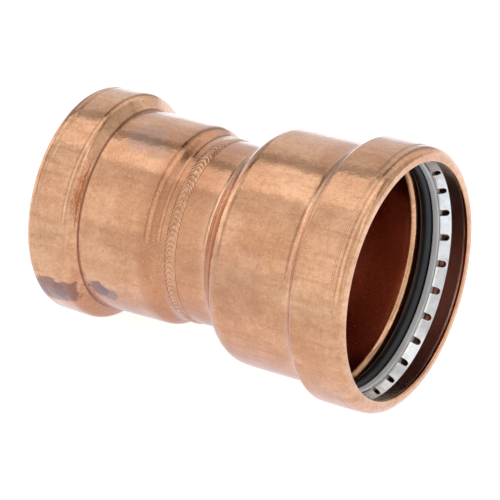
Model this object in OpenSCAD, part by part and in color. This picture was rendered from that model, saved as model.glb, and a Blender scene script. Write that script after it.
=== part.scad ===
// Reducing press coupling: two drawn copper sockets butt-welded at a common neck,
// each with a rolled bead that holds a rubber seal, a separator ring and a grip ring.
// Millimetres. The axis of the coupling is the X axis, the large mouth faces +X and
// the origin is on the axis, halfway between the two mouths.
// Inside the modules a station is a distance measured into the coupling from a mouth.

/* [Shell] */

// thickness of the copper, the same everywhere
wall = 2; // [1.5:0.1:2.4]
// how far the neck lies inside the outside of the small tube
neck_step = 3.15; // [2.6:0.05:4.5]
// straight neck between the large shoulder's foot and the weld
large_neck = 13.2; // [6:0.2:30]
// straight neck between the small shoulder's foot and the weld
small_neck = 4.2; // [4:0.2:30]
// outside radius of the bend where the mouth turns inwards
lip_bend_r = 3.2; // [2.5:0.1:3.6]
// radius on the free edge of the lip
lip_edge_r = 0.7; // [0.4:0.05:0.74]
// inside radius where each seal chamber meets its bore
bore_edge_r = 4.5; // [3:0.1:5]

/* [Large socket] */

// outside diameter of the large copper pipe
large_pipe_d = 79.4; // [76:0.1:100]
// depth that the large pipe goes in
large_depth = 50; // [38:0.5:70]
// length of the plain band of the large grip ring
large_band = 5.4; // [3:0.1:8]
// radial height of the seal chamber above the large socket
large_chamber_h = 4.65; // [4.2:0.05:5.6]
// slope of the step behind the large bead, from the axis
large_bead_slope = 55; // [48:1:58]
// outside radius of the crease at the back of the large bead
large_crease_r = 1.2; // [0.5:0.1:2]
// outside radius of the hollow where the large bead meets its tube
large_root_r = 6.5; // [1:0.5:7]
// slope of the large shoulder down to the neck, from the axis
large_slope = 52; // [46:1:62]
// outside radius at the top of the large shoulder
large_shoulder_r = 7; // [4:0.5:8]
// outside radius at the foot of the large shoulder
large_foot_r = 4.5; // [2:0.5:5]

/* [Small socket] */

// outside diameter of the small copper pipe
small_pipe_d = 66.7; // [50:0.1:69]
// depth that the small pipe goes in
small_depth = 44.8; // [34:0.4:60]
// length of the plain band of the small grip ring
small_band = 2.8; // [2.4:0.1:6]
// radial height of the seal chamber above the small socket
small_chamber_h = 4.9; // [4.2:0.05:5.6]
// slope of the step behind the small bead, from the axis
small_bead_slope = 70; // [60:1:75]
// outside radius of the crease at the back of the small bead
small_crease_r = 3; // [0.5:0.1:3.2]
// outside radius of the hollow where the small bead meets its tube
small_root_r = 0.6; // [0.4:0.1:2]
// slope of the small shoulder down to the neck, from the axis
small_slope = 45; // [40:1:55]
// outside radius at the top of the small shoulder
small_shoulder_r = 4.5; // [3:0.5:5]
// outside radius at the foot of the small shoulder
small_foot_r = 2.5; // [1:0.5:3]

/* [Weld] */

// width of the weld's crown
weld_width = 4.4; // [2.6:0.1:4.8]
// height of the weld's crown above the neck
weld_height = 0.7; // [0.5:0.05:1.4]
// width of the weld where it joins the two neck ends
weld_root_width = 1.6; // [1:0.1:2]

/* [Rings] */

// radial clearance between a pipe and its socket
pipe_clearance = 0.15; // [0.1:0.01:0.25]
// how much each seal is squeezed into the wall of its chamber
seal_squeeze = 0.1; // [0.02:0.01:0.2]
// gap between a seal and the copper step behind it
seal_gap = 0.05; // [0.02:0.01:0.2]
// gap between neighbouring loose rings, and from them to the chamber wall
ring_gap = 0.3; // [0.25:0.05:0.5]
// gap between the lip and the front of each grip ring
front_gap = 0.6; // [0.3:0.05:1]
// how far the lip and the grip teeth stand outside each socket bore
mouth_relief = 1.65; // [1:0.05:2.2]
// how far the separator ring stands outside each socket bore
separator_relief = 1.15; // [0.8:0.05:1.6]
// length of each separator ring along the axis
separator_width = 2.3; // [1.6:0.1:2.8]
// thickness of the strip that each grip ring is bent from
grip_thickness = 0.6; // [0.4:0.05:0.8]
// length of the bent teeth of each grip ring along the axis
tooth_length = 3.4; // [2.6:0.1:4]
// width of the slots between the teeth
slot_width = 2.4; // [1.5:0.1:3]
// length of the slots along the axis
slot_length = 2.9; // [1.6:0.1:3.1]
// slots around the large grip ring
large_slots = 27; // [20:1:32]
// slots around the small grip ring
small_slots = 23; // [16:1:27]
// gap where each grip ring and separator ring is split
split_gap = 2.6; // [1:0.1:4]
// degrees that the large grip ring sits turned about the axis
large_grip_turn = -4.3; // [-180:0.1:180]

/* [Hidden] */

round_steps = 240;
// each end: bore, chamber height, band length, depth, slope, shoulder and foot radii,
// slots, then the slope, crease radius and root radius behind the bead
LARGE = [
  large_pipe_d / 2 + pipe_clearance, large_chamber_h, large_band, large_depth,
  large_slope, large_shoulder_r, large_foot_r, large_slots,
  large_bead_slope, large_crease_r, large_root_r
];
SMALL = [
  small_pipe_d / 2 + pipe_clearance, small_chamber_h, small_band, small_depth,
  small_slope, small_shoulder_r, small_foot_r, small_slots,
  small_bead_slope, small_crease_r, small_root_r
];
// the first and last slot of a grip ring lie this many pitches from its ends
end_margin = 0.75;

// Radii that each end works out from its own list of values.
function chamber_r(e) = e[0] + e[1];
function bead_r(e) = chamber_r(e) + wall;
function tube_r(e) = e[0] + wall;
function lip_r(e) = e[0] + mouth_relief;
function seal_d(e) = e[1] + seal_squeeze;
function seal_mid_r(e) = e[0] + seal_d(e) / 2;

// Stations of the rings, stacked in from the lip to the step behind the seal.
function grip_front(e) = wall + front_gap;
function tooth_root(e) = grip_front(e) + e[2];
function tooth_tip(e) = tooth_root(e) + tooth_length;
function separator_front(e) = tooth_tip(e) + ring_gap;
function separator_back(e) = separator_front(e) + separator_width;
function seal_mid(e) = separator_back(e) + ring_gap + seal_d(e) / 2;
function chamber_back(e) =
  seal_mid(e)
  + (seal_d(e) / 2 + seal_gap - (chamber_r(e) - seal_mid_r(e)) * cos(e[8]))
    / sin(e[8]);

// Stations of the corners on the outside of a shell.
neck_r = tube_r(SMALL) - neck_step;
function bead_back(e) = chamber_back(e) + wall * tan(e[8] / 2);
function tube_front(e) = bead_back(e) + (bead_r(e) - tube_r(e)) / tan(e[8]);
function shoulder_top(e) = e[3] + e[5] * tan(e[4] / 2);
function shoulder_foot(e) = shoulder_top(e) + (tube_r(e) - neck_r) / tan(e[4]);

weld_station = shoulder_foot(LARGE) + large_neck + weld_root_width / 2;
overall_length =
  weld_station + weld_root_width / 2 + small_neck + shoulder_foot(SMALL);
half_length = overall_length / 2;

// Rounding of one corner p1 of an outline, between its neighbours p0 and p2.
function unit(v) = v / norm(v);
function bend(p0, p1, p2) =
  let (a = unit(p0 - p1), b = unit(p2 - p1))
  acos(max(-1, min(1, a * b)));
function rounded_corner(p0, p1, p2, rad) =
  let (
    a = unit(p0 - p1),
    b = unit(p2 - p1),
    half = bend(p0, p1, p2) / 2,
    mid = p1 + unit(a + b) * rad / sin(half),
    from = p1 + a * rad / tan(half) - mid,
    to = p1 + b * rad / tan(half) - mid,
    turn = 180 - 2 * half,
    steps = max(2, ceil(turn / 9))
  )
  [
    for (i = [0 : steps])
      mid + (from * sin(turn * (1 - i / steps)) + to * sin(turn * i / steps)) / sin(turn)
  ];

// Outline whose corners are [radius from axis, station, rounding].
function at(c, i) = let (k = (i + len(c)) % len(c)) [c[k][0], c[k][1]];
function outline(c) = [
  for (i = [0 : len(c) - 1])
    each (
      c[i][2] == 0
        ? [at(c, i)]
        : rounded_corner(at(c, i - 1), at(c, i), at(c, i + 1), c[i][2])
    )
];

// Revolves an outline about X, stations running towards +X from the origin.
module turned(c) {
  rotate([0, 90, 0])
    rotate_extrude($fn = round_steps)
      polygon(outline(c));
}

module at_large_mouth() {
  translate([half_length, 0, 0])
    mirror([1, 0, 0])
      children();
}

module at_small_mouth() {
  translate([-half_length, 0, 0])
    children();
}

// One drawn copper socket, from its lip to the end of its neck.
module shell(e, neck) {
  // stations inside the wall are this much nearer the mouth than those outside
  bead_slip = wall * tan(e[8] / 2);
  slip = wall * tan(e[4] / 2);
  neck_end = shoulder_foot(e) + neck;
  turned([
    [lip_r(e), 0, lip_edge_r],
    [bead_r(e), 0, lip_bend_r],
    [bead_r(e), bead_back(e), e[9]],
    [tube_r(e), tube_front(e), e[10]],
    [tube_r(e), shoulder_top(e), e[5]],
    [neck_r, shoulder_foot(e), e[6]],
    [neck_r, neck_end, 0],
    [neck_r - wall, neck_end, 0],
    [neck_r - wall, shoulder_foot(e) - slip, e[6] + wall],
    [e[0], shoulder_top(e) - slip, e[5] - wall],
    [e[0], tube_front(e) - bead_slip, bore_edge_r],
    [chamber_r(e), chamber_back(e), 0],
    [chamber_r(e), wall, lip_bend_r - wall],
    [lip_r(e), wall, lip_edge_r]
  ]);
}

// Rubber seal of round section, squeezed against the wall of its chamber.
module seal(e) {
  translate([seal_mid(e), 0, 0])
    rotate([0, 90, 0])
      rotate_extrude($fn = round_steps)
        translate([seal_mid_r(e), 0])
          circle(d = seal_d(e), $fn = 64);
}

// Gap that splits a ring open, on the -Y side.
module split(e, gap) {
  translate([0, -bead_r(e), -gap / 2])
    cube([chamber_back(e), bead_r(e) - e[0] / 2, gap]);
}

// Split plastic ring that keeps the grip teeth off the seal.
module separator(e) {
  inner = e[0] + separator_relief;
  outer = chamber_r(e) - ring_gap;
  difference() {
    turned([
      [inner, separator_front(e), 0.5],
      [outer, separator_front(e), 0.3],
      [outer, separator_back(e), 0.3],
      [inner, separator_back(e), 0.3]
    ]);
    split(e, split_gap / 2);
  }
}

// Slot between two teeth: square at the tips, round where it ends.
module slot(e) {
  mid = tooth_tip(e) - slot_length + slot_width / 2;
  translate([mid, 0, lip_r(e) - 4])
    cylinder(h = 12, d = slot_width, $fn = 32);
  translate([mid, -slot_width / 2, lip_r(e) - 4])
    cube([tooth_tip(e) - mid + 1, slot_width, 12]);
}

// Split steel ring: a plain band with a skirt of teeth bent inwards.
module grip_ring(e) {
  outer = chamber_r(e) - ring_gap;
  inner = outer - grip_thickness;
  drop = inner - lip_r(e);
  lean = atan(drop / tooth_length);
  skin = grip_thickness * tan(lean / 2);
  thick = grip_thickness / cos(lean);
  gap_angle = 2 * asin(split_gap / 2 / outer);
  pitch = (360 - gap_angle) / (e[7] - 1 + 2 * end_margin);
  difference() {
    turned([
      [inner, grip_front(e), 0.15],
      [outer, grip_front(e), 0.15],
      [outer, tooth_root(e) + skin, 0.9],
      [lip_r(e) + thick, tooth_tip(e), 0],
      [lip_r(e), tooth_tip(e), 0],
      [inner, tooth_root(e), 0.3]
    ]);
    split(e, split_gap);
    for (i = [0 : e[7] - 1])
      rotate([90 + gap_angle / 2 + (i + end_margin) * pitch, 0, 0])
        slot(e);
  }
}

// Copper shell of the large socket.
module large_shell() {
  color([0.80, 0.52, 0.38])
    at_large_mouth()
      shell(LARGE, large_neck);
}

// Copper shell of the small socket.
module small_shell() {
  color([0.79, 0.51, 0.37])
    at_small_mouth()
      shell(SMALL, small_neck);
}

// Ring of weld metal that joins the two necks, with a low crown outside.
module weld_bead() {
  arc_r = (weld_height ^ 2 + (weld_width / 2) ^ 2) / (2 * weld_height);
  sweep = asin(weld_width / 2 / arc_r);
  steps = 12;
  crown = [
    for (i = [0 : steps])
      let (a = sweep * (1 - 2 * i / steps))
      [neck_r + weld_height - arc_r * (1 - cos(a)), weld_station - arc_r * sin(a), 0]
  ];
  color([0.74, 0.47, 0.34])
    at_large_mouth()
      turned(concat(crown, [
        [neck_r, weld_station + weld_root_width / 2, 0],
        [neck_r - wall, weld_station + weld_root_width / 2, 0],
        [neck_r - wall, weld_station - weld_root_width / 2, 0],
        [neck_r, weld_station - weld_root_width / 2, 0]
      ]));
}

// Black rubber seal in the large bead.
module large_seal() {
  color([0.08, 0.08, 0.08])
    at_large_mouth()
      seal(LARGE);
}

// Pale plastic ring in the large bead.
module large_separator() {
  color([0.72, 0.71, 0.72])
    at_large_mouth()
      separator(LARGE);
}

// Steel toothed ring in the large bead.
module large_grip_ring() {
  color([0.78, 0.78, 0.78])
    rotate([large_grip_turn, 0, 0])
      at_large_mouth()
        grip_ring(LARGE);
}

// Black rubber seal in the small bead.
module small_seal() {
  color([0.08, 0.08, 0.08])
    at_small_mouth()
      seal(SMALL);
}

// Pale plastic ring in the small bead.
module small_separator() {
  color([0.72, 0.71, 0.72])
    at_small_mouth()
      separator(SMALL);
}

// Steel toothed ring in the small bead.
module small_grip_ring() {
  color([0.78, 0.78, 0.78])
    at_small_mouth()
      grip_ring(SMALL);
}

large_shell();
small_shell();
weld_bead();
large_seal();
large_separator();
large_grip_ring();
small_seal();
small_separator();
small_grip_ring();
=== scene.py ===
"""Looks of a copper reducing press coupling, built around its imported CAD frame.

The axis of the coupling is X, the large mouth faces +X and the small mouth -X.
Inside the classes a station is a distance in millimetres from a mouth into the
coupling, and a radius is measured from the axis. Meshes are made in metres.
"""
import logging
import math
from dataclasses import dataclass, field
from enum import Enum
from typing import Any, Callable, Optional, Sequence

import bmesh
import bpy
import numpy as np
from mathutils import Matrix, Vector


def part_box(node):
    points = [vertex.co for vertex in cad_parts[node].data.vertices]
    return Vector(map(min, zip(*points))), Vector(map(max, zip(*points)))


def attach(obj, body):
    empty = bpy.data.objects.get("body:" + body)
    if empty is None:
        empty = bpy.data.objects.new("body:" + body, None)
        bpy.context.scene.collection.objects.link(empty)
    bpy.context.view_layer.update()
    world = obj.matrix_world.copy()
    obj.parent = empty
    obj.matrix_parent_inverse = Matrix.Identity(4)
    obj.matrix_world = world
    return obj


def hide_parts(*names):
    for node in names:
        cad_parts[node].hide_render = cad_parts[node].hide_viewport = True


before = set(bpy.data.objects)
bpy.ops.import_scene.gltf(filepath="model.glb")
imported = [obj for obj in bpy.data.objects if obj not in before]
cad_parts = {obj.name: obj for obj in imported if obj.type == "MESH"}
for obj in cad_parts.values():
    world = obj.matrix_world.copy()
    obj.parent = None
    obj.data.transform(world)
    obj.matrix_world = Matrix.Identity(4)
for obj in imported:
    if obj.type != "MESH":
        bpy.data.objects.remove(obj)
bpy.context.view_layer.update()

MM = 0.001
TURN = 2 * math.pi
# vertices closer than this are one vertex, in metres
SAME_PLACE = 0.00001
log = logging.getLogger("coupling")

Point = tuple[float, float]


# ---------------------------------------------------------------- colours and nodes
def linear(code: str) -> tuple[float, float, float, float]:
    """Turns an sRGB hex colour into a linear one.

    Args:
        code: colour such as "C8936B".

    Returns:
        Red, green, blue and an alpha of 1.
    """
    parts = [int(code[i : i + 2], 16) / 255 for i in (0, 2, 4)]
    curve = [c / 12.92 if c <= 0.04045 else ((c + 0.055) / 1.055) ** 2.4 for c in parts]
    return (curve[0], curve[1], curve[2], 1.0)


def add(
    tree: bpy.types.NodeTree,
    kind: str,
    settings: Optional[dict[str, Any]] = None,
    inputs: Optional[dict[Any, Any]] = None,
) -> bpy.types.Node:
    """Adds a node with its settings, values and links.

    Args:
        tree: node tree that gets the node.
        kind: Blender's name for the node type.
        settings: properties set on the node.
        inputs: for each input name or index, a value or an output socket to link.

    Returns:
        The new node.
    """
    made = tree.nodes.new(kind)
    for name, value in (settings or {}).items():
        setattr(made, name, value)
    for key, value in (inputs or {}).items():
        socket = made.inputs[key]
        if isinstance(value, bpy.types.NodeSocket):
            tree.links.new(value, socket)
        else:
            socket.default_value = value
    return made


def maths(tree: bpy.types.NodeTree, operation: str, *values: Any, clamp: bool = False) -> Any:
    """Adds a maths node.

    Args:
        tree: node tree that gets the node.
        operation: Blender's name for the operation.
        values: a number or an output socket for each input.
        clamp: keeps the result between 0 and 1.

    Returns:
        The node's output socket.
    """
    made = add(
        tree,
        "ShaderNodeMath",
        {"operation": operation, "use_clamp": clamp},
        dict(enumerate(values)),
    )
    return made.outputs[0]


def fade(tree: bpy.types.NodeTree, value: Any, low: float, high: float, top: float = 1.0) -> Any:
    """Maps a value smoothly from low..high to 0..top.

    Args:
        tree: node tree that gets the node.
        value: socket to map.
        low: value that gives 0; it may be above high.
        high: value that gives top.
        top: largest result.

    Returns:
        The mapped value's socket.
    """
    made = add(
        tree,
        "ShaderNodeMapRange",
        {"interpolation_type": "SMOOTHSTEP"},
        {"Value": value, "From Min": low, "From Max": high, "To Min": 0.0, "To Max": top},
    )
    return made.outputs[0]


def blend(tree: bpy.types.NodeTree, mode: str, factor: Any, low: Any, high: Any) -> Any:
    """Mixes two colours.

    Args:
        tree: node tree that gets the node.
        mode: Blender's name for the way of mixing.
        factor: share of the second colour, a number or a socket.
        low: first colour, a value or a socket.
        high: second colour, a value or a socket.

    Returns:
        The mixed colour's socket.
    """
    made = add(tree, "ShaderNodeMix", {"data_type": "RGBA", "blend_type": mode}, {0: factor})
    for index, value in ((6, low), (7, high)):
        if isinstance(value, bpy.types.NodeSocket):
            tree.links.new(value, made.inputs[index])
        else:
            made.inputs[index].default_value = value
    return made.outputs[2]


class Surface:
    """A material being made: its tree, its shader and patterns on Object coordinates."""

    def __init__(self, name: str, **values: Any) -> None:
        """Starts a principled material.

        Args:
            name: the real material and its finish.
            values: constant shader values, with underscores for spaces.
        """
        self.material = bpy.data.materials.new(name)
        self.material.use_nodes = True
        self.tree = self.material.node_tree
        self.tree.nodes.clear()
        self.shader = add(self.tree, "ShaderNodeBsdfPrincipled")
        out = add(self.tree, "ShaderNodeOutputMaterial")
        self.tree.links.new(self.shader.outputs[0], out.inputs[0])
        for key, value in values.items():
            self.shader.inputs[key.replace("_", " ")].default_value = value
        self.place = add(self.tree, "ShaderNodeTexCoord").outputs["Object"]
        split = add(self.tree, "ShaderNodeSeparateXYZ", None, {0: self.place})
        self.x, self.y, self.z = split.outputs

    def stretched(self, scale: Sequence[float], turn: Sequence[float] = (0, 0, 0)) -> Any:
        """Object coordinates stretched and turned.

        Args:
            scale: factor along each axis; below 1 draws a pattern out along it.
            turn: turn about each axis in radians.

        Returns:
            The coordinates' socket.
        """
        return add(
            self.tree,
            "ShaderNodeMapping",
            None,
            {"Vector": self.place, "Scale": tuple(scale), "Rotation": tuple(turn)},
        ).outputs[0]

    def noise(
        self,
        size_mm: float,
        detail: float = 3.0,
        rough: float = 0.5,
        warp: float = 0.0,
        where: Any = None,
        seed: float = 0.0,
    ) -> Any:
        """Noise whose features are about size_mm across.

        Args:
            size_mm: size of a feature in millimetres.
            detail: octaves.
            rough: how strong the finer octaves are.
            warp: distortion.
            where: coordinates, or None for Object coordinates.
            seed: shifts the pattern.

        Returns:
            The noise's value socket.
        """
        return add(
            self.tree,
            "ShaderNodeTexNoise",
            {"noise_dimensions": "4D"},
            {
                "Vector": self.place if where is None else where,
                "W": seed,
                "Scale": 1000.0 / size_mm,
                "Detail": detail,
                "Roughness": rough,
                "Distortion": warp,
            },
        ).outputs[0]

    def spot(self, centre_mm: Sequence[float], radius_mm: float, edge: Any) -> Any:
        """A soft spot on the surface with a ragged edge.

        Args:
            centre_mm: centre in the object's frame.
            radius_mm: radius where the spot has faded out.
            edge: a noise socket that frays the edge.

        Returns:
            A mask socket, 1 in the middle.
        """
        away = add(
            self.tree,
            "ShaderNodeVectorMath",
            {"operation": "DISTANCE"},
            {0: self.place, 1: tuple(c * MM for c in centre_mm)},
        ).outputs["Value"]
        ragged = maths(self.tree, "MULTIPLY_ADD", edge, 1.6 * radius_mm * MM, -0.8 * radius_mm * MM)
        frayed = maths(self.tree, "ADD", away, ragged)
        return fade(self.tree, frayed, radius_mm * MM * 1.05, radius_mm * MM * 0.80)

    def bump(self, height: Any, depth_mm: float, strength: float = 1.0, under: Any = None) -> Any:
        """Adds a bump.

        Args:
            height: height socket, 0 to 1.
            depth_mm: real depth of the relief.
            strength: share of the relief that shows.
            under: normal socket of a coarser bump below this one.

        Returns:
            The normal socket.
        """
        inputs = {"Height": height, "Distance": depth_mm * MM, "Strength": strength}
        if under is not None:
            inputs["Normal"] = under
        return add(self.tree, "ShaderNodeBump", None, inputs).outputs[0]

    def finish(
        self, colour: Any = None, roughness: Any = None, normal: Any = None
    ) -> bpy.types.Material:
        """Links what is given to the shader.

        Args:
            colour: base colour socket.
            roughness: roughness socket.
            normal: normal socket.

        Returns:
            The finished material.
        """
        for key, value in (("Base Color", colour), ("Roughness", roughness), ("Normal", normal)):
            if value is not None:
                self.tree.links.new(value, self.shader.inputs[key])
        return self.material


# ---------------------------------------------------------------- finishes
@dataclass(frozen=True)
class Stain:
    """A patch of annealing oxide on the copper."""

    centre_mm: tuple[float, float, float]
    radius_mm: float
    tint: str
    strength: float


@dataclass(frozen=True)
class DrawnCopper:
    """Drawn and annealed copper tube: warm, satin, mottled by the furnace and the dies."""

    name: str = "drawn annealed copper"
    light: str = "E4AC82"
    mid: str = "D0946A"
    dark: str = "A9704B"
    rust: str = "B87A52"
    # colour of the painted glints
    glint: str = "F0C09A"
    near_weld_tone: str = "BC7A52"
    # colour of the painted shade in the crease behind a bead
    crease: str = "6E3420"
    weld_x_mm: float = -10.0
    inside: str = "A7654A"
    inside_dark: str = "8E4E36"
    scratch: str = "F4C6A4"
    oxide: str = "7E4E34"
    stains: tuple[Stain, ...] = ()
    seed: float = 0.0

    def make(self) -> bpy.types.Material:
        """Builds the material.

        Returns:
            The material.
        """
        # the coat is a thin film of drawing oil: it whitens the edges seen at a low angle
        s = Surface(self.name, Metallic=1.0, Coat_Weight=0.5, Coat_Roughness=0.14)
        t = s.tree
        # broad clouds of 26 mm, mottling of 1.3 mm and etched grain of 0.5 mm
        cloud = s.noise(26, 5, 0.62, 0.6, seed=self.seed)
        mottle = s.noise(1.3, 5, 0.62, 0.4, seed=self.seed + 3)
        grain = s.noise(0.5, 3, 0.6, seed=self.seed + 5)
        # marks that run round the tube from rolling the bead and sizing the socket
        rings = s.noise(1.1, 4, 0.65, where=s.stretched((1.0, 0.03, 0.03)), seed=self.seed + 7)
        # streaks along the tube from drawing it through the die
        streaks = s.noise(3.2, 5, 0.6, 0.3, where=s.stretched((0.16, 1.0, 1.0)), seed=self.seed + 9)
        colour = blend(t, "MIX", fade(t, cloud, 0.40, 0.58), linear(self.mid), linear(self.light))
        patchy = fade(t, mottle, 0.44, 0.66, 0.32)
        colour = blend(t, "MIX", patchy, colour, linear(self.dark))
        # the neck near the weld is made a darker orange-brown
        near = maths(t, "ABSOLUTE", maths(t, "SUBTRACT", s.x, self.weld_x_mm * MM))
        near = maths(t, "ADD", near, maths(t, "MULTIPLY_ADD", mottle, 0.006, -0.003))
        colour = blend(t, "MIX", fade(t, near, 0.0135, 0.009, 0.60), colour, linear(self.near_weld_tone))
        colour = blend(t, "MIX", fade(t, streaks, 0.46, 0.64, 0.42), colour, linear(self.rust))
        colour = blend(t, "MIX", fade(t, rings, 0.54, 0.74, 0.22), colour, linear(self.dark))
        # painted highlight: fine bright specks painted into the colour where the grain would catch the
        # light
        bright = fade(t, s.noise(0.55, 5, 0.7, seed=self.seed + 13), 0.50, 0.68, 0.50)
        colour = blend(t, "MIX", bright, colour, linear(self.glint))
        edge = s.noise(5, 5, 0.65, 0.5, seed=self.seed + 11)
        for stain in self.stains:
            mask = s.spot(stain.centre_mm, stain.radius_mm, edge)
            mask = maths(t, "MULTIPLY", mask, stain.strength)
            colour = blend(t, "MIX", mask, colour, linear(stain.tint))
        # short scuffs from handling, in two directions
        scuffs = s.noise(0.5, 2, 0.5, where=s.stretched((0.06, 1, 1), (0.3, 0.9, 0.4)), seed=1)
        scrapes = s.noise(0.45, 2, 0.5, where=s.stretched((1, 0.05, 1), (0.8, 0.2, 0.7)), seed=2)
        scratched = maths(
            t, "MAXIMUM", fade(t, scuffs, 0.70, 0.78), fade(t, scrapes, 0.71, 0.79)
        )
        fresh = maths(t, "MULTIPLY", scratched, 0.4)
        colour = blend(t, "MIX", fresh, colour, linear(self.scratch))
        # small dark specks of oxide
        specks = fade(t, s.noise(1.4, 2, 0.5, seed=self.seed + 17), 0.70, 0.76, 0.60)
        colour = blend(t, "MIX", specks, colour, linear(self.oxide))
        # painted shade: the hollow behind a bead is painted dark red-brown, where shade and the copper's
        # own darker reflection fall
        hollow = add(t, "ShaderNodeAttribute", {"attribute_name": "crease"}).outputs["Fac"]
        colour = blend(t, "MIX", hollow, colour, linear(self.crease))
        # the furnace leaves the inside darker and duller than the wiped outside
        inner = add(t, "ShaderNodeAttribute", {"attribute_name": "inside"}).outputs["Fac"]
        scale = blend(t, "MIX", patchy, linear(self.inside), linear(self.inside_dark))
        colour = blend(t, "MIX", inner, colour, scale)
        rough = maths(t, "MULTIPLY_ADD", mottle, 0.17, 0.0)
        rough = maths(t, "MULTIPLY_ADD", inner, 0.10, rough)
        rough = maths(t, "MULTIPLY_ADD", grain, 0.06, rough)
        rough = maths(t, "MULTIPLY_ADD", cloud, 0.06, rough)
        normal = s.bump(cloud, 0.45)
        normal = s.bump(edge, 0.07, under=normal)
        normal = s.bump(streaks, 0.018, under=normal)
        normal = s.bump(mottle, 0.020, under=normal)
        normal = s.bump(rings, 0.005, under=normal)
        normal = s.bump(grain, 0.006, under=normal)
        normal = s.bump(scratched, 0.012, 1.0, under=normal)
        return s.finish(colour, rough, normal)


@dataclass(frozen=True)
class WeldedCopper:
    """Copper weld metal: smooth ripples in crest and hollow tones mixed at random, with painted shade that
    darkens the grooves between the ripples.
    """

    name: str = "copper weld metal"
    crest: str = "DCA27A"
    hollow: str = "C28960"
    # colour of the painted shade in the grooves between the ripples
    painted_shade: str = "80482E"

    def make(self) -> bpy.types.Material:
        """Builds the material.

        Returns:
            The material.
        """
        s = Surface(self.name, Metallic=1.0, Coat_Weight=0.6, Coat_Roughness=0.16)
        t = s.tree
        cloud = s.noise(4, 4, 0.6)
        grain = s.noise(0.5, 3, 0.55, seed=4)
        colour = blend(t, "MIX", fade(t, cloud, 0.35, 0.7), linear(self.crest), linear(self.hollow))
        groove = add(t, "ShaderNodeAttribute", {"attribute_name": "groove"}).outputs["Fac"]
        # painted shade: the grooves between the ripples are painted brown by their depth
        colour = blend(t, "MIX", fade(t, groove, 0.25, 0.95, 0.55), colour, linear(self.painted_shade))
        rough = maths(t, "MULTIPLY_ADD", grain, 0.16, 0.08)
        return s.finish(colour, rough, s.bump(grain, 0.008))


@dataclass(frozen=True)
class SealRubber:
    """Moulded black EPDM: near-black, satin, with a faint film of lubricant and dust."""

    name: str = "moulded EPDM rubber"
    black: str = "0C0C0B"
    bloom: str = "1A1C1A"

    def make(self) -> bpy.types.Material:
        """Builds the material.

        Returns:
            The material.
        """
        s = Surface(self.name, Metallic=0.0, IOR=1.52, Coat_Weight=0.10, Coat_Roughness=0.30)
        t = s.tree
        bloom = s.noise(5, 5, 0.65)
        grain = s.noise(0.35, 3, 0.6, seed=3)
        colour = blend(t, "MIX", fade(t, bloom, 0.42, 0.72, 0.8), linear(self.black), linear(self.bloom))
        rough = maths(t, "MULTIPLY_ADD", grain, 0.22, 0.32)
        return s.finish(colour, rough, s.bump(grain, 0.010))


@dataclass(frozen=True)
class SeparatorPlastic:
    """Moulded PBT: pale grey, semi-gloss with a fine moulded texture."""

    name: str = "moulded PBT plastic"
    pale: str = "E2DFD9"
    deep: str = "D2CFC8"
    flow_line: str = "D9D5CF"

    def make(self) -> bpy.types.Material:
        """Builds the material.

        Returns:
            The material.
        """
        s = Surface(self.name, Metallic=0.0, IOR=1.55)
        t = s.tree
        cloud = s.noise(9, 4, 0.6)
        grain = s.noise(0.4, 3, 0.6, seed=6)
        flow = s.noise(1.2, 3, 0.5, where=s.stretched((1.0, 0.05, 0.05)), seed=8)
        colour = blend(t, "MIX", fade(t, cloud, 0.3, 0.7), linear(self.pale), linear(self.deep))
        colour = blend(t, "MULTIPLY", fade(t, flow, 0.55, 0.8, 0.25), colour, linear(self.flow_line))
        rough = maths(t, "MULTIPLY_ADD", grain, 0.18, 0.26)
        normal = s.bump(grain, 0.006, under=s.bump(flow, 0.008))
        return s.finish(colour, rough, normal)


@dataclass(frozen=True)
class RolledSteel:
    """Cold-rolled stainless strip: bright, with fine rolling lines round the band."""

    name: str = "cold-rolled stainless strip"
    bright: str = "E6E1DC"
    grey: str = "D2CDC7"
    nick: str = "8E8A87"

    def make(self) -> bpy.types.Material:
        """Builds the material.

        Returns:
            The material.
        """
        s = Surface(self.name, Metallic=1.0)
        t = s.tree
        lines = s.noise(0.35, 4, 0.65, where=s.stretched((1.0, 0.03, 0.03)))
        smear = s.noise(3.5, 4, 0.6, 0.3, seed=4)
        nicks = s.noise(0.45, 2, 0.5, where=s.stretched((1, 0.15, 0.15)), seed=9)
        colour = blend(t, "MIX", fade(t, smear, 0.35, 0.75), linear(self.bright), linear(self.grey))
        colour = blend(t, "MIX", fade(t, nicks, 0.72, 0.82, 0.5), colour, linear(self.nick))
        rough = maths(t, "MULTIPLY_ADD", lines, 0.14, 0.10)
        rough = maths(t, "MULTIPLY_ADD", smear, 0.06, rough)
        return s.finish(colour, rough, s.bump(lines, 0.003, under=s.bump(smear, 0.004)))


@dataclass(frozen=True)
class StudioPaper:
    """White studio paper under the coupling."""

    name: str = "white studio paper"
    white: str = "FAFAFA"
    shade: str = "F4F4F4"
    glow: float = 0.75
    behind: float = 0.26
    front: float = 0.12
    # colour of the light that the paper throws back
    bounce: tuple[float, float, float, float] = (1.05, 1.30, 1.62, 1.0)

    def make(self) -> bpy.types.Material:
        """Builds the material.

        Returns:
            The material.
        """
        s = Surface(self.name, Roughness=0.9)
        fibre = s.noise(12, 3, 0.5)
        cloudy = fade(s.tree, fibre, 0.3, 0.7, 0.5)
        colour = blend(s.tree, "MIX", cloudy, linear(self.white), linear(self.shade))
        # the paper is lit through from below where it is seen directly
        seen = add(s.tree, "ShaderNodeLightPath").outputs["Is Camera Ray"]
        # behind the coupling it is brighter, which the silhouettes pick up
        behind = maths(s.tree, "ADD", fade(s.tree, s.y, -0.14, 0.02, self.behind), self.front)
        glow = maths(s.tree, "MAXIMUM", behind, maths(s.tree, "MULTIPLY", seen, self.glow))
        s.tree.links.new(glow, s.shader.inputs["Emission Strength"])
        # the light it throws back on to the copper is cooler than the lamps
        cool = blend(s.tree, "MIX", seen, self.bounce, (1.0, 1.0, 1.0, 1.0))
        s.tree.links.new(cool, s.shader.inputs["Emission Color"])
        return s.finish(colour)


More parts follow.
